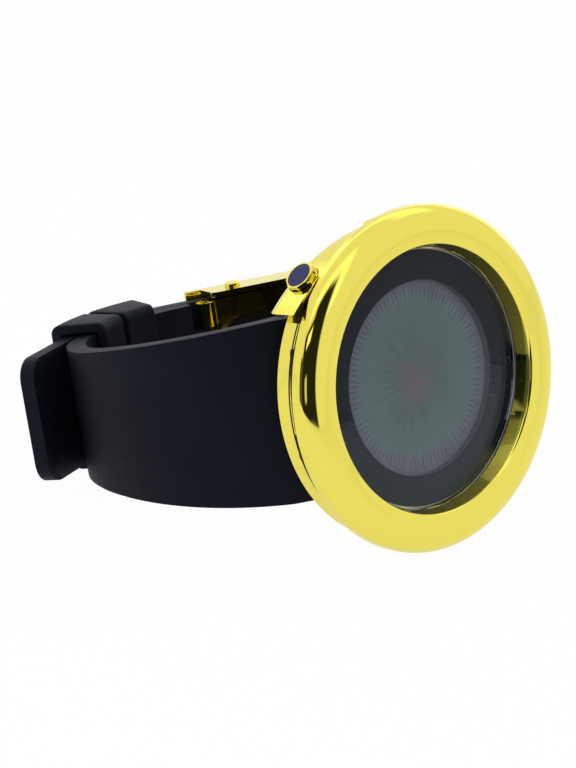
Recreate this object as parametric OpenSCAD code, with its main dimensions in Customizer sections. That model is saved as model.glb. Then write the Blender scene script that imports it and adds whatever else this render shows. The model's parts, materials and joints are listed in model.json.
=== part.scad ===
// Round digital wristwatch on a rubber strap, lying on its side with the strap buckled.
// Everything is drawn upright first: the dial faces -Y, twelve o'clock points to -X and
// three o'clock to +Z, with Y = 0 at the bezel's inner lip. lying() then tips the watch back
// until bezel and strap both touch the ground, with the origin in the middle of the back cover.

/* [Case] */
// Outer diameter of the bezel
bezel_d = 49; // [48:0.5:50]
// Width of the bezel from its outer edge to its lip
bezel_w = 5.6; // [5.4:0.1:5.8]
// Depth of the bezel behind its lip
bezel_h = 3.8; // [3.6:0.1:4]
// Distance from the bezel's outer edge in to its highest line
crest_w = 3.6; // [3.3:0.1:3.9]
// How far the bezel's crest stands before the lip
crown = 0.35; // [0.2:0.05:0.6]
// Depth from the lip down to the crystal
crystal_depth = 2.5; // [2.3:0.1:2.6]
// Depth of the bezel's outer edge, where it meets the case
rim_back = 3.1; // [2.9:0.1:3.2]
// Width of the dark line between bezel and case
reveal = 0.2; // [0.15:0.05:0.25]
// How far the case band stands in from the bezel's outer edge
band_in = 1.4; // [1.2:0.1:1.6]
// Whole thickness of the watch head
case_h = 11.3; // [10.9:0.1:13]
// Radius of the flat arc of the two shoulders that hold the push buttons
shoulder_r = 32; // [31:0.5:33]
// Height of the shoulders' top above the dial's middle
shoulder_top = 22.5; // [22.3:0.1:22.8]
// Height above the dial's middle where the shoulders end over the strap
shoulder_from = 14.4; // [14:0.1:14.8]
// How far back the shoulders reach
shoulder_back = 9.6; // [8.6:0.1:10]
// Radius of the back cover
cover_r = 15; // [14.6:0.1:15.2]

/* [Display] */
// Thickness of the crystal
crystal_t = 1; // [0.9:0.1:1.1]
// Diameter of the window in the dark mask
window_d = 27.7; // [27:0.1:28.4]
// Depth of the wall between the mask and the liquid crystal cell
window_wall = 1; // [0.8:0.1:1.1]
// Thickness of the liquid crystal cell
cell_t = 1.1; // [1:0.1:1.2]
// Diameter of the coin cell
battery_d = 20; // [16:1:20]
// Thickness of the coin cell
battery_t = 2.4; // [2:0.1:2.5]

/* [Push buttons] */
// Angle of each button above the three o'clock line's level
button_angle = 48; // [45:1:50]
// Diameter of a button's head
button_d = 4.6; // [4.4:0.1:4.8]
// Distance from the dial's axis to the face of a button
button_face_r = 25.4; // [25.2:0.1:25.9]
// How far a button moves in
button_travel = 0.6; // [0.4:0.1:0.7]
// Diameter of the blue stone
stone_d = 3.7; // [3.4:0.1:3.8]
// Diameter of a button's stem
stem_d = 1.5; // [1.2:0.1:1.8]

/* [Strap] */
// Strap width at the case
strap_w = 26; // [25:0.1:26.4]
// Strap width at the rear corner
strap_end_w = 19.8; // [19.4:0.1:20.2]
// Strap width at the clasp
clasp_w = 18.4; // [18:0.1:18.8]
// Thickness of the strap at the case
strap_root_t = 4.2; // [3.9:0.1:4.5]
// Thickness of the short strap
short_t = 2.8; // [2.4:0.1:3]
// Thickness of the long strap where it runs outside
tail_t = 2.2; // [1.8:0.1:2.4]
// Distance from the bezel's lip to the widest part of the loop
side_depth = 33; // [32:0.2:33.6]
// Distance from the dial's axis to the widest part of the loop
loop_half = 32.6; // [32:0.1:33]
// Outside radius of the loop's rear corner
corner_r = 19; // [18.6:0.1:19.4]
// Distance from the bezel's lip to the outside of the short strap at the rear
loop_depth = 53; // [52.4:0.1:53.6]
// Angle by which the clasp's side of the loop turns back towards the case
slant = 27; // [25:1:29]
// Length of the clasp's straight side
run = 21.6; // [21:0.1:22]
// Length of tail that stands free past the fixed loop
tail_free = 15.5; // [13:0.5:16]
// Diameter of the holes in the long strap
hole_d = 2.7; // [2.4:0.1:3.2]
// Distance between those holes
hole_pitch = 6.5; // [6:0.1:7]
// Number of holes
hole_count = 5; // [3:1:5]

/* [Strap loops] */
// Wall of a loop
loop_wall = 1.5; // [1.2:0.1:1.8]
// Length of a loop along the strap, as an angle round the corner
loop_span = 20; // [16:1:22]
// Place of the fixed loop round the corner
fixed_loop_at = 72; // [71:1:73]
// Place of the free loop round the corner
free_loop_at = 95; // [95:1:97]

/* [Clasp] */
// Thickness of the clasp's base
base_t = 1.2; // [1:0.1:1.4]
// Radius of the round window in the base
base_window_r = 6.3; // [5.8:0.1:6.4]
// Thickness of the clasp's lid
lid_t = 1.2; // [1:0.1:1.5]
// Wall of the lid's turned-in sides
rim_t = 0.8; // [0.7:0.1:0.9]
// How far the lid reaches past the spring bar
lid_reach = 2; // [1.5:0.5:3]
// Diameter of the hinge pin
hinge_d = 1.4; // [1.2:0.1:1.6]
// Diameter of the stud that holds the strap
stud_d = 2.2; // [1.8:0.1:2.3]
// Diameter of a release button
catch_d = 2.4; // [2:0.1:2.6]
// How far a release button stands out of the lid
catch_out = 0.7; // [0.5:0.1:0.9]

/* [Fits] */
// Gap round soft and loose pieces
gap = 0.3; // [0.2:0.05:0.4]
// Radial running clearance of pins and stems
fit = 0.05; // [0.03:0.01:0.08]
// Diameter of the spring bars
bar_d = 1.5; // [1.3:0.1:1.8]

/* [Hidden] */
$fn = 96;
fine = 48;

// Levels through the head, front to back
bezel_r = bezel_d / 2;
lip_r = bezel_r - bezel_w;
crest_r = bezel_r - crest_w;
band_r = bezel_r - band_in;
skirt_r = band_r - 1.6;
open_r = lip_r - 0.9;
crystal_r = open_r + 0.5;
gasket_t = 0.3;
crystal_back = crystal_depth + crystal_t;
mask_t = 0.2;
mask_back = crystal_back + mask_t;
cell_front = mask_back + window_wall;
cell_back = cell_front + cell_t;
band_front = rim_back + reveal;
band_back = 7.4;
board_t = 0.7;
board_front = 6.35;
board_back = board_front + board_t;
cavity_r = lip_r - 0.5;
frame_in_r = cavity_r - 2.7;
board_r = cavity_r - 1.4;
cavity_back = 7.3;
well_r = battery_d / 2 + 1.2;
well_groove_r = well_r + 0.3;
screw_r = 0.6;
screw_at_r = cover_r - 1.7;
battery_front = 7.35;
battery_back = battery_front + battery_t;
cover_t = 1.3;
cover_front = case_h - cover_t;
case_back_r = band_r - 2.9;
button_depth = 5.9;
shoulder_round = 2.5;
shoulder_c = shoulder_top - shoulder_r;
button_seat = 22;
button_inner = cavity_r - 1.8;
spring_from = 19.6;
spring_r = 1.6;
clip_r = 1.5;
head_t = 1.9;
facet_lean = 5;

// Strap curve: a side arc from the strap's root, then the rear corner. An arc that starts at the
// root and ends straight backwards at a given place has only one radius.
root_half = 17.65;
root_depth = 7.93;
function arc_r(half, depth) =
    let (a = half - root_half, b = depth - root_depth) (a * a + b * b) / (2 * a);
function arc_angle(half, depth) =
    let (r = arc_r(half, depth)) acos((r - half + root_half) / r);
corner_c = [-(loop_half - corner_r), loop_depth - corner_r];
// The clasp's side is drawn straight, square to the dial's axis, and then turned about the corner
function rear(p) = corner_c + [(p[0] - corner_c[0]) * cos(slant) + (p[1] - corner_c[1]) * sin(slant),
    (p[1] - corner_c[1]) * cos(slant) - (p[0] - corner_c[0]) * sin(slant)];
pin_depth = 1.6;
slot_at = cover_r + 0.25;
strap_half = strap_w / 2;
end_half = strap_end_w / 2;
clasp_half = clasp_w / 2;
tail_in = loop_depth + gap;
tail_out = tail_in + tail_t;
tail_in_r = tail_in - corner_c[1];
tail_out_r = tail_in_r + tail_t;
far_c = [corner_c[0] + run, corner_c[1]];
far_turn = rear(far_c);
far_half = far_turn[0] + tail_out_r;
tail_leave = 65;
taper_from = root_depth + 2;
taper_to = side_depth + 5.8;
taper_end = loop_depth - 3;
far_taper_to = far_turn[1] + 5;
bar_r = bar_d / 2;
root_pin = [0.48 - root_half, root_depth + 2.75];
lug_r = 1.45;
lug_half = 6.4;
lug_reach = 5;
clasp_pin = [corner_c[0] + 5.5, loop_depth - short_t / 2];
tongue_half = 5.2;
tip_r = 3.2;
strap_color = [0.13, 0.14, 0.18];

// Clasp
base_out = loop_depth;
base_half = clasp_half;
lid_in = tail_out + gap;
lid_out = lid_in + lid_t;
lid_half = base_half + gap + rim_t;
hinge_r = hinge_d / 2;
hinge_angle = 62;
hinge_at_r = tail_out_r + gap + 1.5;
hinge_c = [far_c[0] + hinge_at_r * cos(hinge_angle), far_c[1] + hinge_at_r * sin(hinge_angle)];
window_x = clasp_pin[0] + 7;
stud_x = window_x + base_window_r + stud_d / 2 + 0.3;
catch_x = clasp_pin[0] + 5.1;
catch_y = loop_depth + 1;
loop_round = 1.4;
loop_half_h = clasp_half + gap;

// Ground line from the bezel's widest point to the lowest edge of the free loop
widest = bezel_h / 2;
loop_low = loop_half_h + loop_wall;
loop_far = corner_c[1] + tail_out_r + gap + loop_wall;
lean = atan((bezel_r - loop_low) / (loop_far - 0.5 - widest));

module lying() { rotate([-lean, 0, 0]) translate([0, -case_h, 0]) children(); }
module turned() { rotate([-90, 0, 0]) rotate_extrude() children(); }
module at_rear() {
    translate([corner_c[0], corner_c[1], 0]) rotate([0, 0, -slant])
        translate([-corner_c[0], -corner_c[1], 0]) children();
}
module ring(inner, outer, front, back) {
    turned() translate([inner, front]) square([outer - inner, back - front]);
}
module disc(r, front, back) { turned() translate([0, front]) square([r, back - front]); }
// A slab drawn on the loop's plan, centred on the case's middle plane
module slab(half) { translate([0, 0, -half]) linear_extrude(2 * half) children(); }
module across(r, half, at) {
    translate([at[0], at[1], 0]) cylinder(r = r, h = 2 * half, center = true, $fn = fine);
}
// Along a push button's axis, with Z pointing out of the case
module at_button(side) {
    translate([0, button_depth, 0]) rotate([0, side * (90 - button_angle), 0]) children();
}
function arc(c, r, a0, a1, n = 20) =
    [for (i = [0:n]) let (a = a0 + (a1 - a0) * i / n) [c[0] + r * cos(a), c[1] + r * sin(a)]];
function reversed(points) = [for (i = [len(points) - 1:-1:0]) points[i]];
function flip(points) = [for (p = points) [-p[0], p[1]]];

// Section of the bezel: an oval crown, a lip that is rounded off where the crown would meet the
// conical inner wall, the crystal's seat, and a skirt that steps down into the case
function between(p, q, t) = p + (q - p) * t;
module bezel_section() {
    seat_r = crystal_r + gasket_t + 0.02;
    edge_angle = acos((lip_r + 0.26 - crest_r) / crest_w);
    crown_line = [for (i = [0:32]) let (a = edge_angle * i / 32)
        [crest_r + crest_w * cos(a), widest - (widest + crown) * sin(a)]];
    from = crown_line[32];
    wall = [open_r, crystal_depth];
    corner = [lip_r, from[1] + 0.1];
    to = between(corner, wall, 0.11);
    polygon(concat(crown_line,
        [for (i = [1:6]) between(between(from, corner, i / 6), between(corner, to, i / 6), i / 6)],
        [wall, [seat_r, crystal_depth], [seat_r, bezel_h], [skirt_r, bezel_h], [skirt_r, rim_back],
        [bezel_r - 0.3, rim_back], [bezel_r, rim_back - 0.3]]));
}

module bezel() { color("gold") turned() bezel_section(); }

module crystal() {
    front = crystal_depth + 0.02;
    color([0.6, 0.7, 0.75, 0.35]) turned() polygon([[0, front], [crystal_r - 0.3, front],
        [crystal_r, front + 0.3], [crystal_r, crystal_back], [0, crystal_back]]);
}

module crystal_gasket() {
    color("dimgray") ring(crystal_r + 0.01, crystal_r + gasket_t, crystal_depth + 0.35, crystal_back);
}

module dial_mask() {
    color([0.1, 0.11, 0.15]) ring(window_d / 2, cavity_r - 0.3, crystal_back, mask_back);
}

module display_cell() {
    color([0.42, 0.45, 0.46]) union() {
        disc(frame_in_r - 0.25, cell_front, cell_front + cell_t / 2);
        intersection() {
            disc(frame_in_r - 0.65, cell_front + cell_t / 2, cell_back);
            cube([60, 60, window_d - 1], center = true);
        }
    }
}

module display_connectors() {
    strip_l = board_r + 1;
    strip_t = 1.6;
    color("slategray") for (s = [-1, 1])
        translate([-strip_l / 2, cell_back, s * (window_d / 2 - 2.4) - strip_t / 2])
            cube([strip_l, board_front - cell_back, strip_t]);
}

// Ring that carries the cell, with a flange that walls the window
module module_frame() {
    color("whitesmoke") difference() {
        union() {
            ring(window_d / 2, cavity_r - 0.15, mask_back, cell_front);
            ring(frame_in_r, cavity_r - 0.15, cell_front, board_front);
        }
        for (s = [-1, 1]) at_button(s) translate([0, 0, frame_in_r])
            cylinder(r = clip_r + 0.4, h = cavity_r - frame_in_r + 2, $fn = fine);
    }
}

module circuit_board() {
    color("darkgreen") difference() {
        disc(board_r, board_front, board_back);
        for (a = [90, 270]) rotate([0, a, 0]) translate([board_r - 1.6, 0, 0]) rotate([-90, 0, 0])
            cylinder(r = screw_r, h = case_h, $fn = 24);
        for (s = [-1, 1]) at_button(s) translate([-2 * clip_r, -2 * clip_r, board_r - 2])
            cube([4 * clip_r, 4 * clip_r, 10]);
    }
}

module coin_cell() {
    color("silver") turned() polygon([[0, battery_front], [battery_d / 2 - 1.2, battery_front],
        [battery_d / 2 - 0.7, battery_front + 0.5], [battery_d / 2, battery_front + 0.7],
        [battery_d / 2, battery_back - 0.3], [battery_d / 2 - 0.3, battery_back], [0, battery_back]]);
}

// Sprung strip over the coin cell with a foot on each side
module cell_clip() {
    clip_half = battery_d / 2 + 0.5;
    color("lightgray") union() {
        translate([-clip_half, battery_back, -2]) cube([2 * clip_half, 0.15, 4]);
        for (s = [-1, 1]) translate([s * (clip_half + 0.1) - 0.1, board_back, -2])
            cube([0.2, battery_back + 0.15 - board_back, 4]);
    }
}

module buzzer_disc() {
    color("goldenrod") disc(9, cover_front - 0.1, cover_front);
}

// The sides of the head run out over the strap in a flatter arc, rounded off at the back
module shoulders() {
    intersection() {
        translate([0, 0, shoulder_c]) turned() polygon(concat([[0, band_front], [shoulder_r, band_front]],
            arc([shoulder_r - shoulder_round, shoulder_back - shoulder_round], shoulder_round, 0, 90, 8),
            [[0, shoulder_back]]));
        translate([-bezel_d, 0, shoulder_from]) cube([2 * bezel_d, 2 * case_h, shoulder_r]);
    }
}
// Room in the case's front for the bezel's skirt
module skirt_seat() { disc(skirt_r + 0.2, 0, bezel_h); }

// Slot that takes the end of a strap on one side
module strap_slot(s) {
    translate([s > 0 ? slot_at : -slot_at - 20, band_back + 0.5, -strap_half - gap])
        cube([20, 10, 2 * (strap_half + gap)]);
}
module lug_plan(s, grow) {
    translate([s * abs(root_pin[0]), root_pin[1]]) {
        circle(r = lug_r + grow, $fn = 48);
        translate([s > 0 ? -lug_reach : 0, -lug_r - grow]) square([lug_reach, 2 * (lug_r + grow)]);
    }
}
module case_lug(s) {
    slab(lug_half) intersection() {
        lug_plan(s, 0);
        translate([s * button_seat, root_pin[1]])
            square([2 * (button_seat - cover_r) - 0.1, 20], center = true);
    }
}

module case_middle() {
    color("gold") difference() {
        union() {
            difference() {
                union() {
                    turned() polygon([[0, band_front],
                        [band_r - 0.3, band_front], [band_r, band_front + 0.3],
                        [band_r - 0.6, band_back], [case_back_r + 1, band_back + 1.4],
                        [case_back_r - 0.6, cover_front - 0.4], [case_back_r - 1.4, cover_front],
                        [0, cover_front]]);
                    shoulders();
                }
                for (s = [-1, 1]) strap_slot(s);
            }
            for (s = [-1, 1]) case_lug(s);
        }
        skirt_seat();
        disc(cavity_r, 0, cavity_back);
        disc(well_r, 0, case_h);
        ring(well_groove_r, well_groove_r + 0.6, cover_front - 0.4, case_h);
        for (s = [-1, 1]) {
            across(bar_r + fit, 30, [s * abs(root_pin[0]), root_pin[1]]);
            at_button(s) {
                cylinder(r = stem_d / 2 + fit, h = 40, $fn = fine);
                translate([0, 0, button_seat]) cylinder(r = button_d / 2 + fit, h = 12, $fn = fine);
                translate([0, 0, spring_from]) cylinder(r = spring_r + fit, h = 5, $fn = fine);
                translate([0, 0, button_inner - 1])
                    cylinder(r = clip_r + 0.2, h = cavity_r - button_inner + 0.7, $fn = fine);
            }
        }
        at_screws() translate([0, 0, cover_front - 1.6]) cylinder(r = screw_r, h = 5, $fn = 24);
    }
}

module at_screws() {
    for (a = [45:90:315]) rotate([0, a, 0]) translate([screw_at_r, 0, 0]) rotate([-90, 0, 0]) children();
}

module back_cover() {
    color("gold") difference() {
        turned() polygon([[0, cover_front], [cover_r, cover_front], [cover_r, case_h - 0.5],
            [cover_r - 0.5, case_h], [0, case_h]]);
        at_screws() {
            translate([0, 0, cover_front - 1]) cylinder(r = screw_r + fit, h = 5, $fn = 24);
            translate([0, 0, case_h - 0.6]) cylinder(r = 1.1, h = 5, $fn = 24);
        }
    }
}

module back_gasket() {
    color("dimgray") ring(well_groove_r + 0.05, well_groove_r + 0.55, cover_front - 0.4, cover_front);
}

module back_screws() {
    color("gold") at_screws() difference() {
        union() {
            translate([0, 0, case_h - 0.6]) cylinder(r = 1.05, h = 0.5, $fn = 24);
            translate([0, 0, cover_front - 1.5])
                cylinder(r = screw_r - 0.02, h = case_h - cover_front + 1, $fn = 24);
        }
        translate([-2, -0.12, case_h - 0.35]) cube([4, 0.24, 1]);
    }
}

// Push button: an eight-sided head round a stone, with a stem that runs through the case wall
module button(side) {
    shank_from = button_seat + button_travel + 0.1;
    color("gold") at_button(side) difference() {
        union() {
            translate([0, 0, button_face_r - head_t])
                cylinder(r1 = button_d / 2 - 0.02, r2 = button_d / 2 - 0.1, h = head_t, $fn = 64);
            translate([0, 0, shank_from])
                cylinder(r = button_d / 2 - 0.02, h = button_face_r - head_t - shank_from, $fn = fine);
            translate([0, 0, button_inner])
                cylinder(r = stem_d / 2, h = button_seat - button_inner + 2, $fn = fine);
        }
        translate([0, 0, button_face_r - 0.45]) cylinder(r = stone_d / 2 + 0.03, h = 2, $fn = fine);
        translate([0, 0, button_inner + 0.4]) difference() {
            cylinder(r = stem_d, h = 0.4, $fn = fine);
            cylinder(r = stem_d / 2 - 0.2, h = 0.4, $fn = fine);
        }
        for (a = [0:45:315]) rotate([0, 0, a])
            translate([button_d / 2 - 0.1, -button_d / 2, button_face_r - 1.5])
                rotate([0, -facet_lean, 0]) cube([2, button_d, 3]);
    }
}

module stone(side) {
    color("mediumblue") at_button(side) translate([0, 0, button_face_r - 0.44])
        cylinder(r = stone_d / 2, h = 0.4, $fn = fine);
}

module button_spring(side) {
    length = button_seat + button_travel + 0.1 - spring_from;
    color("silver") at_button(side) translate([0, 0, spring_from]) difference() {
        cylinder(r = spring_r - 0.05, h = length, $fn = fine);
        cylinder(r = stem_d / 2 + 0.2, h = length, $fn = fine);
    }
}

module button_clip(side) {
    color("silver") at_button(side) translate([0, 0, button_inner + 0.45]) difference() {
        cylinder(r = clip_r, h = 0.3, $fn = fine);
        cylinder(r = stem_d / 2 - 0.18, h = 0.3, $fn = fine);
    }
}

module button_1() { button(-1); }
module button_2() { button(1); }
module button_1_stone() { stone(-1); }
module button_2_stone() { stone(1); }
module button_1_spring() { button_spring(-1); }
module button_2_spring() { button_spring(1); }
module button_1_clip() { button_clip(-1); }
module button_2_clip() { button_clip(1); }

// Side arc of a strap from the root to its widest place, outer face, then inner face back again.
// The strap grows thicker from there to its root.
function side_outer(half, depth) = let (r = arc_r(half, depth), a = arc_angle(half, depth))
    arc([r - half, depth], r, 180 + a, 180);
function side_inner(half, depth, t, n = 20) = let (r = arc_r(half, depth), a = arc_angle(half, depth))
    [for (i = [0:n]) let (b = 180 + a * i / n, thick = between(t, strap_root_t, i / n))
        [r - half + (r - thick) * cos(b), depth + (r - thick) * sin(b)]];
function rears(points) = [for (p = points) rear(p)];

// The straps narrow from the case to the clasp, by way of the depths and half widths given
module strap_taper(steps) {
    half_line = concat([[0, strap_half], [taper_from, strap_half]], steps, [[2 * loop_depth, clasp_half]]);
    rotate([90, 0, 90]) linear_extrude(4 * loop_half, center = true)
        polygon(concat(half_line, reversed([for (p = half_line) [p[0], -p[1]]])));
}

// Two prongs at the case take the spring bar beside the case's own lug
module strap_root_cut(s) {
    across(bar_r + fit, strap_w, [s * abs(root_pin[0]), root_pin[1]]);
    slab(lug_half + gap) lug_plan(s, gap);
}

module strap_short() {
    color(strap_color) difference() {
        intersection() {
            slab(strap_half) union() {
                polygon(reversed(concat(side_outer(loop_half, side_depth),
                    arc(corner_c, corner_r, 180, 90 - slant, 30),
                    rears([[clasp_pin[0], loop_depth], [clasp_pin[0], loop_depth - short_t]]),
                    arc(corner_c, corner_r - short_t, 90 - slant, 180, 30),
                    side_inner(loop_half, side_depth, short_t))));
                translate(rear(clasp_pin)) circle(r = short_t / 2 + 0.04, $fn = 48);
                translate(root_pin) circle(r = pin_depth, $fn = 48);
            }
            strap_taper([[taper_to, end_half], [taper_end, clasp_half]]);
        }
        strap_root_cut(-1);
        at_rear() {
            across(bar_r + fit, strap_w, clasp_pin);
            for (s = [-1, 1]) translate([clasp_pin[0] - 2.6, base_out - 2 * short_t,
                s > 0 ? tongue_half : -tongue_half - strap_w]) cube([10, 4 * short_t, strap_w]);
        }
    }
}

// The long strap goes round the far corner, over the clasp's base and on outside the short strap
module strap_long() {
    leave = 180 - tail_leave;
    heading = [-sin(tail_leave), -cos(tail_leave)];
    tip_out = corner_c + tail_out_r * [cos(leave), sin(leave)] + tail_free * heading;
    tip_in = corner_c + tail_in_r * [cos(leave), sin(leave)] + tail_free * heading;
    color(strap_color) difference() {
        intersection() {
            slab(strap_half) union() {
                polygon(concat(flip(side_outer(far_half, far_turn[1])),
                    arc(far_turn, tail_out_r, 4, 90 - slant),
                    arc(corner_c, tail_out_r, 90 - slant, leave), [tip_out, tip_in],
                    arc(corner_c, tail_in_r, leave, 90 - slant),
                    arc(far_turn, tail_in_r, 90 - slant, 4),
                    flip(side_inner(far_half, far_turn[1], tail_t))));
                translate([-root_pin[0], root_pin[1]]) circle(r = pin_depth, $fn = 48);
            }
            strap_taper([[far_taper_to, clasp_half]]);
        }
        strap_root_cut(1);
        at_rear() for (i = [0:hole_count - 1])
            translate([stud_x + hole_pitch * (1 - i), loop_depth - short_t, 0])
                rotate([-90, 0, 0]) cylinder(d = hole_d, h = 4 * short_t, $fn = fine);
        // Rounded corners of the tip
        for (s = [-1, 1]) translate([tip_in[0], tip_in[1], s * clasp_half])
            rotate([0, 0, 90 - tail_leave]) tip_corner(s);
    }
}
module tip_corner(s) {
    difference() {
        translate([-1, -6, s > 0 ? -tip_r : -1]) cube([tip_r + 1, 12, tip_r + 1]);
        translate([tip_r, 0, -s * tip_r]) rotate([90, 0, 0])
            cylinder(r = tip_r, h = 20, center = true, $fn = fine);
    }
}

module strap_bar(s) {
    color("silver") union() {
        across(bar_r, strap_half - 1, [s * abs(root_pin[0]), root_pin[1]]);
        across(bar_r * 0.6, strap_half - 0.3, [s * abs(root_pin[0]), root_pin[1]]);
    }
}
module strap_bar_short() { strap_bar(-1); }
module strap_bar_long() { strap_bar(1); }

// A loop round both straps, bent to the corner
module strap_loop(at, outer_r) {
    inner_r = corner_r - short_t - gap;
    translate([corner_c[0], corner_c[1], 0]) rotate([0, 0, 180 - at - loop_span / 2])
        rotate_extrude(angle = loop_span) difference() {
            rounded_section(inner_r - loop_wall, outer_r + loop_wall, loop_half_h + loop_wall, loop_round);
            translate([inner_r, -loop_half_h]) square([outer_r - inner_r, 2 * loop_half_h]);
        }
}
module rounded_section(r0, r1, half, round) {
    union() {
        translate([r0 + round, -half]) square([r1 - r0 - 2 * round, 2 * half]);
        translate([r0, -half + round]) square([r1 - r0, 2 * (half - round)]);
        for (x = [r0 + round, r1 - round]) for (y = [-half + round, half - round])
            translate([x, y]) circle(r = round, $fn = 32);
    }
}
module fixed_loop() {
    clear = tail_out_r / cos(tail_leave - fixed_loop_at + loop_span / 2);
    color(strap_color) strap_loop(fixed_loop_at, clear + gap);
}
module free_loop() { color(strap_color) strap_loop(free_loop_at, tail_out_r + gap); }

// Plate under the long strap with a round window, knuckles for the spring bar and cheeks for the
// lid's pin
module clasp_base() {
    color("gold") at_rear() difference() {
        union() {
            slab(base_half) union() {
                translate([clasp_pin[0] + 1.9, base_out - base_t])
                    square([far_c[0] - clasp_pin[0] - 1.9, base_t]);
                polygon(concat(arc(far_c, base_out - far_c[1], 90, hinge_angle - 6, 12),
                    arc(far_c, base_out - base_t - far_c[1], hinge_angle - 6, 90, 12)));
            }
            difference() {
                slab(base_half) union() {
                    translate(clasp_pin) circle(r = short_t / 2, $fn = 48);
                    translate([clasp_pin[0], base_out - base_t]) square([2.4, base_t]);
                }
                slab(tongue_half + gap) translate([clasp_pin[0] - 5, base_out - 10]) square([7, 20]);
            }
            for (s = [-1, 1]) translate([0, 0, s * (base_half - 0.001 + rim_t / 2)])
                slab(rim_t / 2) cheek_plan();
        }
        across(bar_r + fit, strap_w, clasp_pin);
        across(hinge_r + fit, strap_w, hinge_c);
        translate([window_x, base_out - 5, 0]) rotate([-90, 0, 0])
            cylinder(r = base_window_r, h = 10, $fn = $fn);
        translate([stud_x, base_out - 5, 0]) rotate([-90, 0, 0])
            cylinder(r = stud_d / 2 - 0.5 + fit, h = 10, $fn = fine);
    }
}
module cheek_plan() {
    hull() {
        translate(hinge_c) circle(r = 1.5, $fn = 32);
        polygon(concat(arc(far_c, base_out - far_c[1], hinge_angle + 6, hinge_angle - 6, 4),
            arc(far_c, base_out - base_t - far_c[1], hinge_angle - 6, hinge_angle + 6, 4)));
    }
}

module clasp_stud() {
    color("gold") at_rear() translate([stud_x, 0, 0]) rotate([-90, 0, 0]) union() {
        translate([0, 0, base_out - base_t])
            cylinder(r = stud_d / 2 - 0.5, h = base_t + 0.01, $fn = fine);
        translate([0, 0, base_out]) cylinder(r = stud_d / 2, h = tail_t + gap - 0.3, $fn = fine);
    }
}

module clasp_bar() {
    color("peru") at_rear() across(bar_r, base_half - 0.2, clasp_pin);
}

module clasp_hinge_pin() { color("gold") at_rear() across(hinge_r, base_half + rim_t, hinge_c); }

// Lid: a bent plate with turned-in sides, hinged on the pin outside the strap
module clasp_lid() {
    swing = hinge_angle + 9;
    color("gold") at_rear() difference() {
        union() {
            slab(lid_half) union() {
                translate([clasp_pin[0] - lid_reach, lid_in])
                    square([far_c[0] - clasp_pin[0] + lid_reach, lid_t]);
                polygon(concat(arc(far_c, lid_out - far_c[1], 90, swing, 10),
                    arc(far_c, lid_in - far_c[1], swing, 90, 10)));
            }
            slab(base_half - gap) union() {
                translate(hinge_c) circle(r = 1.4, $fn = 48);
                polygon(concat(arc(far_c, lid_out - far_c[1], swing + 1, hinge_angle + 2, 4),
                    arc(far_c, lid_in - far_c[1], hinge_angle + 2, swing + 1, 4)));
            }
            for (s = [-1, 1]) translate([0, 0, s * (lid_half - rim_t / 2)]) slab(rim_t / 2) rim_plan();
        }
        across(hinge_r + fit, strap_w, hinge_c);
        for (s = [-1, 1]) translate([catch_x, catch_y, s * lid_half])
            cylinder(d = catch_d + 2 * fit, h = 4, center = true, $fn = fine);
    }
}
module rim_plan() {
    hull() {
        translate([clasp_pin[0] + 2.2, base_out - 0.4]) circle(r = 1, $fn = 32);
        translate([clasp_pin[0] + 0.4, lid_in]) square([1, lid_t]);
        translate([far_c[0] - 2, base_out - 0.4]) circle(r = 1, $fn = 32);
        translate([far_c[0] + 1, lid_in]) square([1, lid_t * 0.8]);
    }
}

module catch_pin(s) {
    color("gold") at_rear() translate([catch_x, catch_y, s * (lid_half - rim_t)])
        mirror([0, 0, s < 0 ? 1 : 0]) union() {
            translate([0, 0, 0.1]) cylinder(d = catch_d, h = rim_t + catch_out - 0.3, $fn = fine);
            translate([0, 0, rim_t + catch_out - 0.2])
                cylinder(d1 = catch_d, d2 = catch_d - 0.4, h = 0.2, $fn = fine);
        }
}
module catch_1() { catch_pin(1); }
module catch_2() { catch_pin(-1); }

lying() bezel();
lying() crystal();
lying() crystal_gasket();
lying() dial_mask();
lying() display_cell();
lying() display_connectors();
lying() module_frame();
lying() circuit_board();
lying() coin_cell();
lying() cell_clip();
lying() buzzer_disc();
lying() case_middle();
lying() back_cover();
lying() back_gasket();
lying() back_screws();
lying() button_1();
lying() button_1_stone();
lying() button_1_spring();
lying() button_1_clip();
lying() button_2();
lying() button_2_stone();
lying() button_2_spring();
lying() button_2_clip();
lying() strap_short();
lying() strap_long();
lying() strap_bar_short();
lying() strap_bar_long();
lying() fixed_loop();
lying() free_loop();
lying() clasp_base();
lying() clasp_stud();
lying() clasp_bar();
lying() clasp_lid();
lying() clasp_hinge_pin();
lying() catch_1();
lying() catch_2();
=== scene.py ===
# %% [markdown]
# # A gold digital wristwatch on a rubber strap
# The watch lies on its side with the strap buckled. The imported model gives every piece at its
# real size and place, so this script only dresses it: it makes the polished ring, the soft rubber
# and the dark display, and sets up a plain white studio with the camera where the photographer stood.

# %% Load the frame
import json
import math

import bmesh
import bpy
from mathutils import Matrix, Vector


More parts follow.
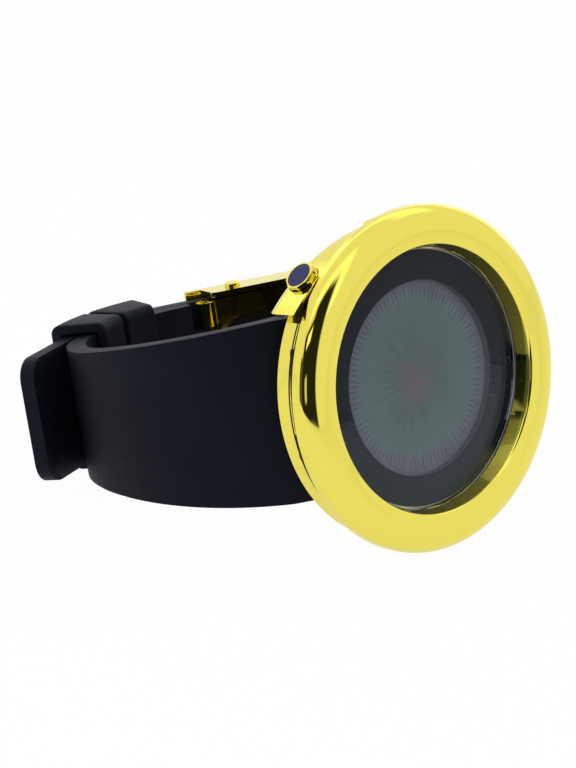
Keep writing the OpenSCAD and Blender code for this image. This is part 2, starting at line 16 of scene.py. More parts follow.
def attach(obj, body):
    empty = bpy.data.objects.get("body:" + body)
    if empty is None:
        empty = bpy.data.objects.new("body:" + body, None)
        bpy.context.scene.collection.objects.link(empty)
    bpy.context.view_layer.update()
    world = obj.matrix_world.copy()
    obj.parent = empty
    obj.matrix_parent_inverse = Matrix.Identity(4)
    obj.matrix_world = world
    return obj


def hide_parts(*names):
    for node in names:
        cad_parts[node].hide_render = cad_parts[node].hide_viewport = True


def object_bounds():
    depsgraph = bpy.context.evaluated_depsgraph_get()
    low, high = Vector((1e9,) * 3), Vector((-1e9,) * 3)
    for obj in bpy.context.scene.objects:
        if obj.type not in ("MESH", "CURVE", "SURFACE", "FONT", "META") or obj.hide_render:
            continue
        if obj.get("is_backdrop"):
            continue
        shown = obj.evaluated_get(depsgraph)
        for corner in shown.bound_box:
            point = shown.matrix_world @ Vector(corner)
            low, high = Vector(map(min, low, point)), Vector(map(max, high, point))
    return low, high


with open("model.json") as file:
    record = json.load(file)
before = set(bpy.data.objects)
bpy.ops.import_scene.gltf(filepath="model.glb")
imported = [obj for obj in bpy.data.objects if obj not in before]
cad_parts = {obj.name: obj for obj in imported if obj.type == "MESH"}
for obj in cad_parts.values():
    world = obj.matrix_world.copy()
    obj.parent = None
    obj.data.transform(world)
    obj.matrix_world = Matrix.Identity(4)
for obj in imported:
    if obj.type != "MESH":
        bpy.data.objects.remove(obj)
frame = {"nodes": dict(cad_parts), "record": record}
nodes = frame["nodes"]
cad_low, cad_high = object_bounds()

# %% [markdown]
# ## The watch's own axes
# A watchmaker draws a watch from its dial, not from the table it lies on. Here the dial faces -Y,
# twelve o'clock points to -X and three o'clock to +Z, in millimetres, with Y = 0 at the bezel's lip.
# One matrix takes that drawing to the frame. Its lean comes from the case back's mount, and its
# depth from the known thickness of the head.

# %% The matrix from the dial's axes to the frame
MM = 0.001
# From the bezel's lip to the case back
CASE_DEPTH = 11.3
back_axis = Vector(frame["record"]["mounts"][0]["axis"])
LEAN = math.atan2(-back_axis.z, back_axis.y)
lying = (Matrix.Scale(MM, 4) @ Matrix.Rotation(-LEAN, 4, "X")
         @ Matrix.Translation((0, -CASE_DEPTH, 0)))
upright = lying.inverted()
print("the head leans back by", round(math.degrees(LEAN), 2), "degrees")

# %% [markdown]
# ## The camera
# The bezel's two rims are circles, so the ellipses that they make in the picture give the camera:
# how far it stands, how high, and how long its lens is. The places below are in the watch's own
# axes, in millimetres from the middle of the lip. The focal length is in pixels of the picture,
# which is 768 pixels high, and a lens length in Blender is that share of a 36 mm sensor.

# %% The camera where the photographer stood
PICTURE_HIGH = 768
FOCAL_PIXELS = 2929.4
CLIP_START = 0.01
# Where the camera stands, the way it looks and the way to its right
EYE = Vector((-272.11, -291.05, 91.95))
LOOK = Vector((0.6287, 0.7462, -0.2189))
RIGHT = Vector((0.7333, -0.6626, -0.1526))
lens_data = bpy.data.cameras.new("camera")
lens_data.lens = FOCAL_PIXELS / PICTURE_HIGH * lens_data.sensor_width
lens_data.clip_start = CLIP_START
camera = bpy.data.objects.new("camera", lens_data)
bpy.context.scene.collection.objects.link(camera)
turn = lying.to_3x3().normalized()
ahead = (turn @ LOOK).normalized()
side = turn @ RIGHT
side = (side - ahead * side.dot(ahead)).normalized()
over = side.cross(ahead)
camera.matrix_world = Matrix((
    (side.x, over.x, -ahead.x, 0), (side.y, over.y, -ahead.y, 0),
    (side.z, over.z, -ahead.z, 0), (0, 0, 0, 1)))
camera.location = lying @ EYE
bpy.context.scene.camera = camera
print("camera at", [round(v, 3) for v in camera.location], "lens", round(lens_data.lens, 1), "mm")

# %% [markdown]
# ## Colours and nodes
# Colours are written as they look on a screen, as six hex digits, and one function turns them into
# the linear light that a shader works with. Another small function adds any shader node with its
# settings and its links, so that each material below reads like a recipe. A pattern's scale counts
# its grains along a metre, so it is written as grains in a millimetre and turned by a third.

# %% Helpers for colours and nodes
def paint(code, alpha=1.0):
    """A screen colour as six hex digits, turned to linear light."""
    parts = [int(code[i:i + 2], 16) / 255 for i in (0, 2, 4)]
    return [c / 12.92 if c <= 0.04045 else ((c + 0.055) / 1.055) ** 2.4 for c in parts] + [alpha]


def add(tree, kind, sockets=None, **settings):
    """Adds a node. sockets gives each input a value, or another node's output to link to."""
    made = tree.nodes.new("ShaderNode" + kind)
    for name, value in settings.items():
        setattr(made, name, value)
    for name, value in (sockets or {}).items():
        if isinstance(value, bpy.types.NodeSocket):
            tree.links.new(value, made.inputs[name])
        else:
            made.inputs[name].default_value = value
    return made


def finish_of(name):
    """An empty material and its tree, ready for a recipe."""
    made = bpy.data.materials.new(name)
    made.use_nodes = True
    made.node_tree.nodes.clear()
    return made, made.node_tree


def show(tree, shader):
    """Links a shader to the material's output."""
    add(tree, "OutputMaterial", {"Surface": shader.outputs[0]})


def per_mm(count):
    """The scale of a pattern that has this many grains in a millimetre."""
    return count / MM


def ramp(tree, fac, stops):
    """A colour ramp from (place, hex) stops."""
    made = add(tree, "ValToRGB", {"Fac": fac})
    for i, (place, code) in enumerate(stops):
        stop = made.color_ramp.elements[i] if i < 2 else made.color_ramp.elements.new(place)
        stop.position = place
        stop.color = paint(code)
    return made


print("the grey 808080 is", round(paint("808080")[0], 3), "in linear light")

# %% [markdown]
# ## The studio
# Small shiny things are photographed in a white tent, because a mirror finish shows whatever
# stands round it. The floor is a plain white sheet. The world is white to the camera, to
# reflections and to what is seen through glass, but plain grey where it lights the object, so
# that colours come out as they are written. A tent has gaps, and a polished ring shows each one as
# a dark sickle. So the world is built from soft places: a large dark gap at the left front with two
# glints in it, paler panels at the sides and overhead, and a greyer one low behind.

# %% The white sheet
SHEET_HALF = 1.5
# How much of the sheet's look is its own plain white, to the camera and in reflections
WHITE_SEEN = 0.97
WHITE_MIRRORED = 0.8


def white_sheet():
    """The plain sheet that the watch lies on."""
    bm = bmesh.new()
    bmesh.ops.create_grid(bm, x_segments=1, y_segments=1, size=SHEET_HALF)
    bmesh.ops.translate(bm, verts=bm.verts, vec=(0, 0, cad_low.z))
    mesh = bpy.data.meshes.new("floor")
    bm.to_mesh(mesh)
    bm.free()
    made = bpy.data.objects.new("floor", mesh)
    bpy.context.scene.collection.objects.link(made)
    made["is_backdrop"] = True
    return made


floor = white_sheet()
sheet_finish, tree = finish_of("white paper")
lit = add(tree, "BsdfDiffuse", {"Color": paint("f2f2f2")})
bright = add(tree, "Emission", {"Color": paint("ffffff"), "Strength": 1.0})
path = add(tree, "LightPath")
seen = add(tree, "Math", {0: path.outputs["Is Camera Ray"], 1: WHITE_SEEN},
           operation="MULTIPLY")
mirrored = add(tree, "Math", {0: path.outputs["Is Glossy Ray"], 1: WHITE_MIRRORED},
               operation="MULTIPLY")
share = add(tree, "Math", {0: seen.outputs[0], 1: mirrored.outputs[0]}, operation="MAXIMUM")
show(tree, add(tree, "MixShader", {0: share.outputs[0], 1: lit.outputs[0], 2: bright.outputs[0]}))
floor.data.materials.append(sheet_finish)
print("the sheet lies", round(cad_low.z / MM, 1), "mm from the origin")

# %% The tent
# The world's level where it lights the object, and how far ahead a place starts to count
LIT_LEVEL = 0.62
AHEAD = 0.1
# Degrees from the dial's axis: the middle's azimuth and elevation, half the width and height, and
# the soft edge. Last is the light level, where 1 is white.
PLACES = (
    ((-38.0, 13.0), (38.0, 27.0), 3.0, 0.02),
    ((-27.0, 40.0), (15.0, 9.0), 5.0, 0.02),
    ((-84.0, 4.0), (12.0, 20.0), 3.0, 0.1),
    ((-52.0, 30.0), (10.0, 4.0), 1.0, 1.3),
    ((-46.0, 3.0), (6.0, 6.0), 1.5, 0.8),
    ((8.0, 34.0), (5.0, 20.0), 4.0, 1.5),
    ((115.0, 10.0), (18.0, 17.0), 7.0, 1.7),
    ((120.0, 56.0), (45.0, 9.0), 5.0, 1.45),
    ((-42.0, 59.0), (30.0, 8.0), 5.0, 1.4),
    ((140.0, -45.0), (22.0, 18.0), 10.0, 0.75),
)


def toward_axes(azimuth, elevation):
    """Three axes of a place in the tent: its middle, its right and its top, in the frame."""
    a, e = math.radians(azimuth), math.radians(elevation)
    middle = Vector((math.sin(a) * math.cos(e), -math.cos(a) * math.cos(e), math.sin(e)))
    right = Vector((math.cos(a), math.sin(a), 0))
    return [turn @ axis for axis in (middle, right, middle.cross(right))]


def inside(tree, toward, axis, half, soft):
    """1 where a direction lies within a half angle of a plane through the axis, 0 outside."""
    part = add(tree, "VectorMath", {0: toward, 1: axis}, operation="DOT_PRODUCT")
    size = add(tree, "Math", {0: part.outputs["Value"]}, operation="ABSOLUTE")
    limits = [math.sin(math.radians(half + soft)), math.sin(math.radians(half - soft))]
    return add(tree, "MapRange", {"Value": size.outputs[0], 1: limits[0], 2: limits[1], 3: 0.0,
                                  4: 1.0}, interpolation_type="SMOOTHSTEP").outputs[0]


world = bpy.data.worlds.new("tent")
bpy.context.scene.world = world
world.use_nodes = True
tree = world.node_tree
tree.nodes.clear()
toward = add(tree, "TexCoord").outputs["Generated"]
level = 1.0
for (azimuth, elevation), (wide, high), soft, light in PLACES:
    middle, right, top = toward_axes(azimuth, elevation)
    in_width = inside(tree, toward, right, wide, soft)
    in_height = inside(tree, toward, top, high, soft)
    front = add(tree, "VectorMath", {0: toward, 1: middle}, operation="DOT_PRODUCT")
    ahead_of = add(tree, "Math", {0: front.outputs["Value"], 1: AHEAD}, operation="GREATER_THAN")
    both = add(tree, "Math", {0: in_width, 1: in_height}, operation="MULTIPLY")
    share = add(tree, "Math", {0: both.outputs[0], 1: ahead_of.outputs[0]}, operation="MULTIPLY")
    blend = add(tree, "Mix", {"Factor": share.outputs[0], 2: level, 3: light}, data_type="FLOAT")
    level = blend.outputs[0]
path = add(tree, "LightPath")
tent = add(tree, "Background", {"Color": paint("ffffff"), "Strength": level})
plain = add(tree, "Background", {"Color": paint("ffffff"), "Strength": 1.0})
dim = add(tree, "Background", {"Color": paint("ffffff"), "Strength": LIT_LEVEL})
mirrors = add(tree, "Math", {0: path.outputs["Is Glossy Ray"],
                             1: path.outputs["Is Transmission Ray"]}, operation="MAXIMUM")
first = add(tree, "MixShader", {0: mirrors.outputs[0], 1: dim.outputs[0], 2: tent.outputs[0]})
last = add(tree, "MixShader", {0: path.outputs["Is Camera Ray"], 1: first.outputs[0],
                               2: plain.outputs[0]})
add(tree, "OutputWorld", {"Surface": last.outputs[0]})
print("a tent with", len(PLACES), "soft places")


# %% [markdown]
# ## The lamps
# A wide soft lamp overhead gives the rubber its pale upper edge, and a smaller one from the left
# front keeps the strap from going flat. Both are hidden from reflections, because in a mirror finish
# a square lamp shows as a square: the tent alone makes the bright and dark shapes in the gold.

# %% Two soft lamps
WATCH_MIDDLE = Vector((0, 0.02, 0))
LAMPS = (
    # its name, its place and its side in metres, and its watts
    ("overhead", (-0.05, 0.05, 0.5), 0.45, 1.6),
    ("left front", (-0.45, -0.35, 0.35), 0.3, 0.9),
)


def soft_lamp(name, place, size, watts):
    """A square area lamp that looks at the watch."""
    data = bpy.data.lights.new(name, "AREA")
    data.size = size
    data.energy = watts
    made = bpy.data.objects.new(name, data)
    bpy.context.scene.collection.objects.link(made)
    made.location = place
    made.rotation_euler = (WATCH_MIDDLE - made.location).to_track_quat("-Z", "Y").to_euler()
    made.visible_glossy = False
    return made


for lamp in LAMPS:
    soft_lamp(*lamp)
bpy.context.scene.view_settings.view_transform = "Standard"
print("lamps:", [lamp[0] for lamp in LAMPS])


# %% [markdown]
# ## Polished gold plate
# The case is steel, turned and buffed to a mirror, then plated with a pale lemon gold. So it is a
# metal with almost no roughness. What keeps it from looking like a perfect mirror is the buffing:
# faint swirls about a millimetre apart, over waves a centimetre long, that spread the highlights a
# little. Real swirls are finer, but finer ones wouldn't show. The bar at the clasp's end gets a
# duller, darker and warmer plate: its darker colour is painted shade, where it sits in the clasp's
# shadow.

# %% Material: gold plate
def gold_plate(name, colour, roughness):
    """Buffed, plated steel: a bright metal with fine swirls in its roughness."""
    made, tree = finish_of(name)
    at = add(tree, "TexCoord").outputs["Object"]
    fine = add(tree, "TexNoise", {"Vector": at, "Scale": per_mm(0.9), "Detail": 3.0})
    wide = add(tree, "TexNoise", {"Vector": at, "Scale": per_mm(0.09), "Detail": 2.0})
    mixed = add(tree, "Math", {0: fine.outputs["Fac"], 1: wide.outputs["Fac"]}, operation="MULTIPLY")
    rough = add(tree, "MapRange", {"Value": mixed.outputs[0], 1: 0.1, 2: 0.5, 3: roughness * 0.6,
                                   4: roughness * 1.5})
    bump = add(tree, "Bump", {"Height": wide.outputs["Fac"], "Strength": 0.02, "Distance": 0.0002})
    show(tree, add(tree, "BsdfPrincipled", {
        "Base Color": paint(colour), "Metallic": 1.0, "Roughness": rough.outputs[0],
        "Normal": bump.outputs[0]}))
    return made


gold = gold_plate("buffed gold plate", "eadc60", 0.05)
# A darker, warmer, rougher gold for the clasp's bar: its colour is painted shade
shaded_gold = gold_plate("gold plate with painted shade", "c99a3c", 0.12)
print("finishes:", gold.name, "and", shaded_gold.name)


# %% [markdown]
# ## Moulded rubber
# The strap is moulded silicone rubber. Its skin is nearly black with a little blue, and it copies the
# mould's fine blasted texture, so light spreads over it softly. Rubber also holds dust: a few pale
# specks, a third of a millimetre wide, in cells 3 mm apart. Most cells stay clean.

# %% Material: rubber
def moulded_rubber(name):
    """Matte navy-black silicone with a blasted skin and a few specks of dust."""
    made, tree = finish_of(name)
    at = add(tree, "TexCoord").outputs["Object"]
    grain = add(tree, "TexNoise", {"Vector": at, "Scale": per_mm(2.6), "Detail": 2.0})
    cloud = add(tree, "TexNoise", {"Vector": at, "Scale": per_mm(0.06), "Detail": 3.0})
    base = ramp(tree, cloud.outputs["Fac"], [(0.3, "0a0c13"), (0.7, "0f1219")])
    cells = add(tree, "TexVoronoi", {"Vector": at, "Scale": per_mm(0.33)})
    speck = add(tree, "MapRange", {"Value": cells.outputs["Distance"], 1: 0.05, 2: 0.10, 3: 1.0,
                                   4: 0.0})
    luck = add(tree, "SeparateColor", {"Color": cells.outputs["Color"]})
    few = add(tree, "Math", {0: luck.outputs[0], 1: 0.94}, operation="GREATER_THAN")
    dust = add(tree, "Math", {0: speck.outputs[0], 1: few.outputs[0]}, operation="MULTIPLY")
    colour = add(tree, "Mix", {"Factor": dust.outputs[0], 6: base.outputs[0], 7: paint("6c6f78")},
                 data_type="RGBA")
    rough = add(tree, "MapRange", {"Value": grain.outputs["Fac"], 1: 0.3, 2: 0.7, 3: 0.5, 4: 0.62})
    bump = add(tree, "Bump", {"Height": grain.outputs["Fac"], "Strength": 0.25, "Distance": 0.0001})
    show(tree, add(tree, "BsdfPrincipled", {
        "Base Color": colour.outputs[2], "Roughness": rough.outputs[0], "Normal": bump.outputs[0],
        "Specular IOR Level": 0.14, "Specular Tint": paint("c8d0f0")}))
    return made


rubber = moulded_rubber("moulded silicone")
print("finish:", rubber.name)


# %% [markdown]
# ## The display
# A liquid crystal cell that is off is a grey-green mirror under a polariser. Oblique light and the
# film's grain give it clouds of colour: a reddish middle, a green field, a mauve band at the rim
# and fine rays that end in small teeth. The pattern is round, so it is worked out from each point's
# distance and angle about the dial's axis.

# %% Material: liquid crystal
# The window's radius in millimetres, the teeth round its rim, and how the rays stretch: many round
# the dial, few along its radius
WINDOW_R = 13.85
TEETH = 96
RAYS = (30.0, 1.5, 1.0)


def crystal_cell(name):
    """The display's off colour, as rings and rays about the dial's axis."""
    made, tree = finish_of(name)
    at = add(tree, "TexCoord").outputs["Object"]
    centre = lying @ Vector((0, 0, 0))
    own = add(tree, "Mapping", {"Vector": at, "Location": centre, "Rotation": (-LEAN, 0, 0)},
              vector_type="TEXTURE")
    axes = add(tree, "SeparateXYZ", {"Vector": own.outputs[0]})
    flat = add(tree, "CombineXYZ", {"X": axes.outputs["X"], "Z": axes.outputs["Z"]})
    far = add(tree, "VectorMath", {0: flat.outputs[0]}, operation="LENGTH")
    radius = add(tree, "Math", {0: far.outputs["Value"], 1: WINDOW_R * MM}, operation="DIVIDE")
    angle = add(tree, "Math", {0: axes.outputs["Z"], 1: axes.outputs["X"]}, operation="ARCTAN2")
    soft = add(tree, "TexNoise", {"Vector": own.outputs[0], "Scale": per_mm(0.15), "Detail": 3.0})
    shift = add(tree, "MapRange", {"Value": soft.outputs["Fac"], 1: 0.3, 2: 0.7, 3: -0.07, 4: 0.07})
    ring = add(tree, "Math", {0: radius.outputs[0], 1: shift.outputs[0]}, operation="ADD")
    field = ramp(tree, ring.outputs[0], [
        (0.0, "6b5f61"), (0.16, "656364"), (0.36, "556765"), (0.62, "5c716f"), (0.80, "60716f"),
        (0.88, "676572"), (1.0, "6a6a73")])
    spoke = add(tree, "CombineXYZ", {"X": angle.outputs[0], "Y": radius.outputs[0]})
    wide = add(tree, "VectorMath", {0: spoke.outputs[0], 1: RAYS}, operation="MULTIPLY")
    rays = add(tree, "TexNoise", {"Vector": wide.outputs[0], "Scale": 1.0, "Detail": 3.0})
    streak = add(tree, "MapRange", {"Value": rays.outputs["Fac"], 1: 0.3, 2: 0.7, 3: -0.12, 4: 0.12})
    around = add(tree, "Math", {0: angle.outputs[0], 1: TEETH}, operation="MULTIPLY")
    wave = add(tree, "Math", {0: around.outputs[0]}, operation="SINE")
    inner = add(tree, "MapRange", {"Value": radius.outputs[0], 1: 0.80, 2: 0.86, 3: 0.0, 4: 0.22},
                interpolation_type="SMOOTHSTEP")
    outer = add(tree, "MapRange", {"Value": radius.outputs[0], 1: 0.89, 2: 0.93, 3: 1.0, 4: 0.0},
                interpolation_type="SMOOTHSTEP")
    band = add(tree, "Math", {0: inner.outputs[0], 1: outer.outputs[0]}, operation="MULTIPLY")
    teeth = add(tree, "Math", {0: wave.outputs[0], 1: band.outputs[0]}, operation="MULTIPLY")
    tone = add(tree, "Math", {0: streak.outputs[0], 1: teeth.outputs[0]}, operation="ADD")
    lift = add(tree, "Math", {0: tone.outputs[0], 1: 1.0}, operation="ADD")
    colour = add(tree, "VectorMath", {0: field.outputs[0], "Scale": lift.outputs[0]},
                 operation="SCALE")
    show(tree, add(tree, "BsdfPrincipled", {"Base Color": colour.outputs[0], "Roughness": 0.45,
                                            "Specular IOR Level": 0.08}))
    return made


display = crystal_cell("liquid crystal under a polariser")
print("finish:", display.name, "with", TEETH, "teeth")


# %% [markdown]
# ## Glass, prints and the works
# The crystal is polished mineral glass. Light from lamps has to get through it to the display, so
# shadow rays pass straight through, as they nearly do in a flat pane. The print round the window is
# a dark ink. Behind it are moulded plastic, green circuit board, nickel-plated steel and seals.
# These are all a base colour with a fine grain, so one recipe makes them: only the colours, the
# grain, the roughness and the shine differ.

# %% Materials: glass, print, plastic, steel
def mineral_glass(name):
    """Clear polished glass that lets lamps light what is behind it."""
    made, tree = finish_of(name)
    glass = add(tree, "BsdfPrincipled", {"Base Color": paint("f4f8fa"), "Roughness": 0.0, "IOR": 1.5,
                                         "Specular IOR Level": 0.06, "Transmission Weight": 1.0,
                                         "Specular Tint": paint("707478")})
    through = add(tree, "BsdfTransparent", {"Color": paint("f4f8fa")})
    path = add(tree, "LightPath")
    show(tree, add(tree, "MixShader", {0: path.outputs["Is Shadow Ray"], 1: glass.outputs[0],
                                       2: through.outputs[0]}))
    return made


def plain_finish(name, dark, light, roughness, metal=0.0, grain=0.4, depth=0.1, shine=0.5):
    """A surface whose grain, counted in a millimetre, mottles its colour and its roughness."""
    made, tree = finish_of(name)
    at = add(tree, "TexCoord").outputs["Object"]
    noise = add(tree, "TexNoise", {"Vector": at, "Scale": per_mm(grain), "Detail": 3.0})
    colour = ramp(tree, noise.outputs["Fac"], [(0.3, dark), (0.7, light)])
    rough = add(tree, "MapRange", {"Value": noise.outputs["Fac"], 1: 0.3, 2: 0.7,
                                   3: roughness * 0.8, 4: roughness * 1.2})
    bump = add(tree, "Bump", {"Height": noise.outputs["Fac"], "Strength": depth,
                              "Distance": 0.0001})
    show(tree, add(tree, "BsdfPrincipled", {
        "Base Color": colour.outputs[0], "Metallic": metal, "Roughness": rough.outputs[0],
        "Specular IOR Level": shine, "Normal": bump.outputs[0]}))
    return made


# Clear and colourless, with only a faint reflection, as on coated glass
glass = mineral_glass("mineral glass")
# Ink that was pressed through a mesh: flat, dull and even
print_black = plain_finish("screen-printed ink", "1c2028", "1e222a", 0.6, depth=0.0, shine=0.03)
# Soft black rubber with a dull skin
seal = plain_finish("seal rubber", "0e0e10", "18181b", 0.6)
# Moulded plastic, an off-white with a soft sheen
white_plastic = plain_finish("acetal moulding", "d8d8d2", "e6e6e0", 0.45)
# Green lacquer over a woven board, so its grain is fine
board = plain_finish("circuit board resist", "0f4428", "17593a", 0.35, grain=1.5)
# Barrel-plated steel, a soft grey shine with fine scratches
steel = plain_finish("nickel-plated steel", "a9aaab", "c4c5c6", 0.28, metal=1.0, grain=1.2)
# Drawn wire, a little darker than the plated steel
spring_steel = plain_finish("spring steel", "8c8d90", "a8a9ac", 0.3, metal=1.0, grain=1.2)
# Rolled sheet, a warm and uneven yellow
brass = plain_finish("sheet brass", "b08d4a", "c8a660", 0.35, metal=1.0)
# A polished stone, deep blue with paler clouds
stone = plain_finish("blue stone", "0b103e", "161c5c", 0.15, grain=0.9, depth=0.02, shine=0.25)

# %% Each finish goes on its pieces
FINISHES = {
    "gold_plated_steel": gold, "mineral_crystal": glass, "black_seal": seal,
    "black_print": print_black, "liquid_crystal": display, "white_moulding": white_plastic,
    "circuit_board": board, "cell_steel": steel, "buzzer_brass": brass, "blue_stone": stone,
    "spring_steel": spring_steel, "strap_rubber": rubber,
}
slot_of = {entry["node"]: entry["material_slot"] for entry in frame["record"]["subparts"]}
for name, piece in nodes.items():
    for material_slot in piece.material_slots:
        material_slot.material = FINISHES[slot_of[name]]
# The clasp's bar sits in shadow: its darker gold is painted shade
nodes["clasp_bar"].material_slots[0].material = shaded_gold
print("finishes on the nodes:", len(FINISHES))


# %% [markdown]
# ## Turning the bezel
# The bezel is a ring turned on a lathe, with an oval crown. A mirror finish shows the smallest
# flat, so the drawing's short facets are not good enough here. Its section is drawn again as a fine
# curve and spun round the dial's axis in steps of one degree. Its inner wall stands a little
# steeper than in the drawing: a flatter one mirrors the bright tent by way of the glass.

# %% A piece from a bmesh
def piece_from(bm, name, body, material, smooth_angle=40.0):
    """Makes an object from a bmesh in the frame's metres, smooth but for its sharp edges."""
    for edge in bm.edges:
        edge.smooth = len(edge.link_faces) == 2 and edge.calc_face_angle(0) < math.radians(smooth_angle)
    for face in bm.faces:
        face.smooth = True
    mesh = bpy.data.meshes.new(name)
    bm.to_mesh(mesh)
    bm.free()
    made = bpy.data.objects.new(name, mesh)
    bpy.context.scene.collection.objects.link(made)
    mesh.materials.append(material)
    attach(made, body)
    print(name, len(mesh.polygons), "faces")
    return made


# %% The bezel's section, spun
# Radii: the widest line, the inner lip, the crown's crest, the wall's foot, the glass's seat and
# the skirt that goes into the case
BEZEL_R = 24.5
LIP_R = 18.9
CREST_R = 20.9
WALL_FOOT_R = 18.47
SEAT_R = 18.82
SKIRT_R = 21.5
CREST_W = BEZEL_R - CREST_R
# Depths behind the lip: the widest line, the glass, the rim's back and the skirt's end. The crown
# stands that much in front of the lip.
WIDEST = 1.9
GLASS_DEPTH = 2.5
RIM_BACK = 3.1
BEZEL_DEPTH = 3.8
CROWN = 0.35
# The lip's rounding: how far it spans, how deep its corner lies, its share of the wall
LIP_SPAN = 0.26
LIP_DEEP = 0.1
LIP_SHARE = 0.11
LIP_STEPS = 10
BACK_CHAMFER = 0.3
CROWN_STEPS = 96
SPIN_STEPS = 360


def between(p, q, t):
    """A point part of the way from one (radius, depth) point to another."""
    return (p[0] + (q[0] - p[0]) * t, p[1] + (q[1] - p[1]) * t)


def bezel_section():
    """The section's points from the widest line over the crown to the seat and the back edge."""
    last = math.acos((LIP_R + LIP_SPAN - CREST_R) / CREST_W)
    crown = [(CREST_R + CREST_W * math.cos(last * i / CROWN_STEPS),
              WIDEST - (WIDEST + CROWN) * math.sin(last * i / CROWN_STEPS))
             for i in range(CROWN_STEPS + 1)]
    start = crown[-1]
    corner = (LIP_R, start[1] + LIP_DEEP)
    foot = (WALL_FOOT_R, GLASS_DEPTH)
    end = between(corner, foot, LIP_SHARE)
    steps = [i / LIP_STEPS for i in range(1, LIP_STEPS + 1)]
    lip = [between(between(start, corner, t), between(corner, end, t), t) for t in steps]
    seat = [foot, (SEAT_R, GLASS_DEPTH), (SEAT_R, BEZEL_DEPTH), (SKIRT_R, BEZEL_DEPTH)]
    back = [(SKIRT_R, RIM_BACK), (BEZEL_R - BACK_CHAMFER, RIM_BACK),
            (BEZEL_R, RIM_BACK - BACK_CHAMFER)]
    return crown + lip + seat + back


def turned(points, steps=SPIN_STEPS):
    """Spins a closed section of (radius, depth) points round the dial's axis."""
    bm = bmesh.new()
    ring = [bm.verts.new((r, y, 0)) for r, y in points]
    edges = [bm.edges.new((ring[i - 1], ring[i])) for i in range(len(ring))]
    bmesh.ops.spin(bm, geom=ring + edges, cent=(0, 0, 0), axis=(0, 1, 0), dvec=(0, 0, 0),
                   angle=2 * math.pi, steps=steps, use_merge=True)
    bmesh.ops.remove_doubles(bm, verts=bm.verts, dist=1e-5)
    bmesh.ops.recalc_face_normals(bm, faces=bm.faces)
    bmesh.ops.transform(bm, matrix=lying, verts=bm.verts)
    return bm


bezel = piece_from(turned(bezel_section()), "bezel_ring", "watch", gold)
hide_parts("bezel")

# %% [markdown]
# ## The crystal
# The glass of a watch is a flat disc, cut from sheet and ground at its front edge so that it does
# not chip. A short cylinder is the right start, and one narrow bevel is the ground edge. It replaces
# the plain disc of the drawing, because a clean rim is what catches the light.

# %% The crystal, a flat disc with a ground edge
CRYSTAL_R = 18.5
CRYSTAL_T = 1.0
GROUND_EDGE = 0.12
PANE_SIDES = 180
# Two places nearer than this are the same one
SAME = 0.01


def pane():
    """A flat disc of glass that faces -Y, with its front edge ground off."""
    bm = bmesh.new()
    bmesh.ops.create_cone(bm, cap_ends=True, segments=PANE_SIDES, radius1=CRYSTAL_R,
                          radius2=CRYSTAL_R, depth=CRYSTAL_T)
    bmesh.ops.rotate(bm, verts=bm.verts, cent=(0, 0, 0), matrix=Matrix.Rotation(math.pi / 2, 3, "X"))
    bmesh.ops.translate(bm, verts=bm.verts, vec=(0, GLASS_DEPTH + CRYSTAL_T / 2, 0))
    front_rim = [e for e in bm.edges if all(v.co.y < GLASS_DEPTH + SAME for v in e.verts)]
    bmesh.ops.bevel(bm, geom=front_rim, offset=GROUND_EDGE, offset_type="OFFSET", segments=2,
                    profile=0.5, affect="EDGES", material=-1)
    bmesh.ops.recalc_face_normals(bm, faces=bm.faces)
    bmesh.ops.transform(bm, matrix=lying, verts=bm.verts)
    return bm


crystal = piece_from(pane(), "crystal_pane", "watch", glass, 20.0)
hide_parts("crystal")
print("crystal", CRYSTAL_R * 2, "mm across")

# %% [markdown]
# ## The window's wall
# The dark print ends at the display's window, and a narrow grey step behind its edge is painted
# shade and reflection: the print edge's shadow and mirror image on the display. A thin ring of film
# spun round the dial's axis lines the hole, so the print keeps its own ink and the step its paler one.

# %% The window's dark wall
WINDOW_FRONT = 3.7
WINDOW_BACK = 4.7
LINER_T = 0.06
LINER_STEPS = 180


def square_ring(inner, outer, front, back, steps=SPIN_STEPS):
    """A ring of rectangular section, from two radii and two depths."""
    return turned([(inner, front), (outer, front), (outer, back), (inner, back)], steps)


# A thin grey ring, nearly without shine, whose colour is painted shade and reflection
shade_step_film = plain_finish("grey film of painted shade", "39414b", "404852", 0.5, depth=0.02, shine=0.1)
piece_from(square_ring(WINDOW_R - LINER_T, WINDOW_R, WINDOW_FRONT, WINDOW_BACK, LINER_STEPS),
           "window_shade_liner", "watch", shade_step_film)


# %% [markdown]
# ## Rounding what was drawn sharp
# A moulded strap has no sharp edge, and a plated part has none either, because buffing rounds it.
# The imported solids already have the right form, so the quickest honest way is to copy one, join its
# loose triangles, dissolve them back into flat faces, and bevel the edges that a hand would feel.
# On the straps those are the long edges along both sides.

# %% Copies of the straps with rounded edges
# Degrees between two faces that are one flat face
FLAT = 0.3


def merged_copy(node):
    """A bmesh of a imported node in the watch's own millimetres, with flat faces made whole."""
    bm = bmesh.new()
    bm.from_mesh(nodes[node].data)
    bmesh.ops.transform(bm, matrix=upright, verts=bm.verts)
    bmesh.ops.remove_doubles(bm, verts=bm.verts, dist=1e-3)
    bmesh.ops.dissolve_limit(bm, angle_limit=math.radians(FLAT), verts=bm.verts, edges=bm.edges,
                             use_dissolve_boundaries=False)
    bmesh.ops.recalc_face_normals(bm, faces=bm.faces)
    return bm


def rubber_piece(node, body, edges, radius, steps):
    """A piece of rubber with the given edges rounded, in place of its plain solid."""
    bm = merged_copy(node)
    bmesh.ops.bevel(bm, geom=edges(bm), offset=radius, offset_type="OFFSET", segments=steps,
                    profile=0.5, affect="EDGES", clamp_overlap=True, material=-1)
    bmesh.ops.transform(bm, matrix=lying, verts=bm.verts)
    made = piece_from(bm, node + "_rubber", body, rubber, 35.0)
    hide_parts(node)
    return made


# The depth where the straps leave the case, and how near the middle a rim edge can lie
STRAP_FROM = 8.5
RIM_FROM = 8.0
# How far a side face and an outer face of a strap point sideways
SIDE_FACE = 0.8
OUTER_FACE = 0.4
RIM_RADIUS = 0.55


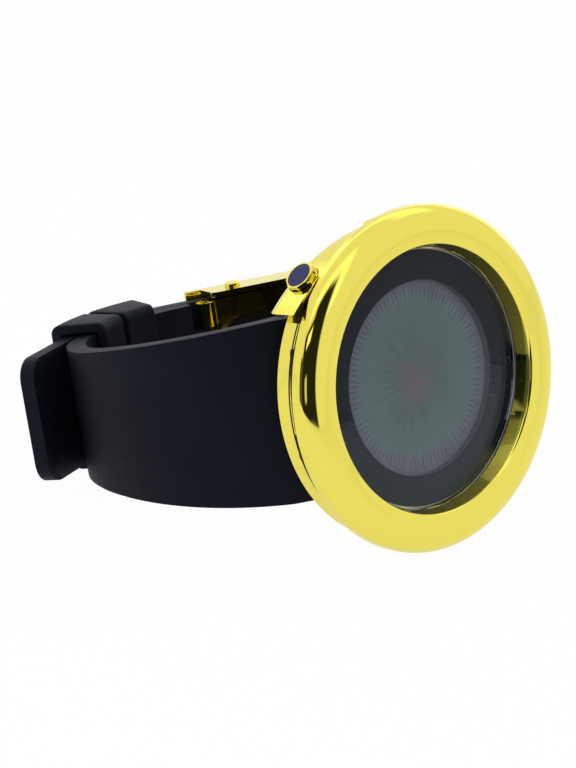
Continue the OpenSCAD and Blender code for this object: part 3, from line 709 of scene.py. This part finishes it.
def rim_edges(bm):
    """The long edges along both sides of a strap."""
    bm.normal_update()
    found = []
    for edge in bm.edges:
        if len(edge.link_faces) != 2 or min(v.co.y for v in edge.verts) < STRAP_FROM:
            continue
        outer, side = sorted(abs(face.normal.z) for face in edge.link_faces)
        is_rim = side > SIDE_FACE and outer < OUTER_FACE
        if is_rim and min(abs(v.co.z) for v in edge.verts) > RIM_FROM:
            found.append(edge)
    return found


rubber_piece("strap_short", "watch", rim_edges, RIM_RADIUS, 4)
rubber_piece("strap_long", "watch", rim_edges, RIM_RADIUS, 4)


# %% [markdown]
# ## The case's band
# The case is turned with a band that stands upright under the bezel. In the drawing the band's foot
# draws in a little, which a mirror finish shows as a dark stripe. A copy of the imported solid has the
# corners at the foot scaled out, and weighted normals keep the large flat faces flat to the eye.

# %% The case with an upright band
# The band's radius, its foot's radius in the drawing and here, and the foot's depth
BAND_R = 23.1
DRAWN_FOOT_R = 22.5
FOOT_R = 23.05
BAND_BACK = 7.4
NEAR = 0.02


def upright_case():
    """A copy of the case with the corners at the band's foot moved out."""
    bm = merged_copy("case_middle")
    foot = [v for v in bm.verts if abs(math.hypot(v.co.x, v.co.z) - DRAWN_FOOT_R) < NEAR
            and abs(v.co.y - BAND_BACK) < NEAR]
    widened = FOOT_R / DRAWN_FOOT_R
    bmesh.ops.scale(bm, verts=foot, vec=(widened, 1.0, widened))
    print("band's foot:", len(foot), "corners moved out")
    bmesh.ops.transform(bm, matrix=lying, verts=bm.verts)
    return bm


case = piece_from(upright_case(), "case_gold", "watch", gold, 28.0)
even = case.modifiers.new("even shading", "WEIGHTED_NORMAL")
even.keep_sharp = True
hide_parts("case_middle")

# %% [markdown]
# ## The joint line
# The bezel's seal comes to the surface as a hair-thin black line round the case. It is a square
# ring of seal rubber, spun like the bezel, and stands a few hundredths proud of the band so that it
# never shares a surface with the gold.

# %% The joint line round the case
LINE_AT = 4.9
LINE_W = 0.13
LINE_PROUD = 0.06
LINE_SUNK = 0.1
piece_from(square_ring(BAND_R - LINE_SUNK, BAND_R + LINE_PROUD, LINE_AT, LINE_AT + LINE_W),
           "joint_line", "watch", seal)

# %% [markdown]
# ## The loops
# Both loops are moulded rubber bands that hold the strap's tail. The fixed one belongs to the
# watch, and the free one slides, so it rides on a body of its own. Every sharp edge of a loop is
# rounded, because a hand meets them all.

# %% The two loops with rounded edges
# Radians between two faces that meet in a sharp edge
SHARP = 0.7
LOOP_RADIUS = 0.3


def sharp_edges(bm):
    """The edges where two faces meet at a clear angle."""
    return [e for e in bm.edges if len(e.link_faces) == 2 and e.calc_face_angle(0) > SHARP]


rubber_piece("fixed_loop", "watch", sharp_edges, LOOP_RADIUS, 3)
rubber_piece("free_loop", "free_loop", sharp_edges, LOOP_RADIUS, 3)

# %% Sizes, and the end
low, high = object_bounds()
print("visual box", [round(v / MM, 1) for v in high - low], "mm")
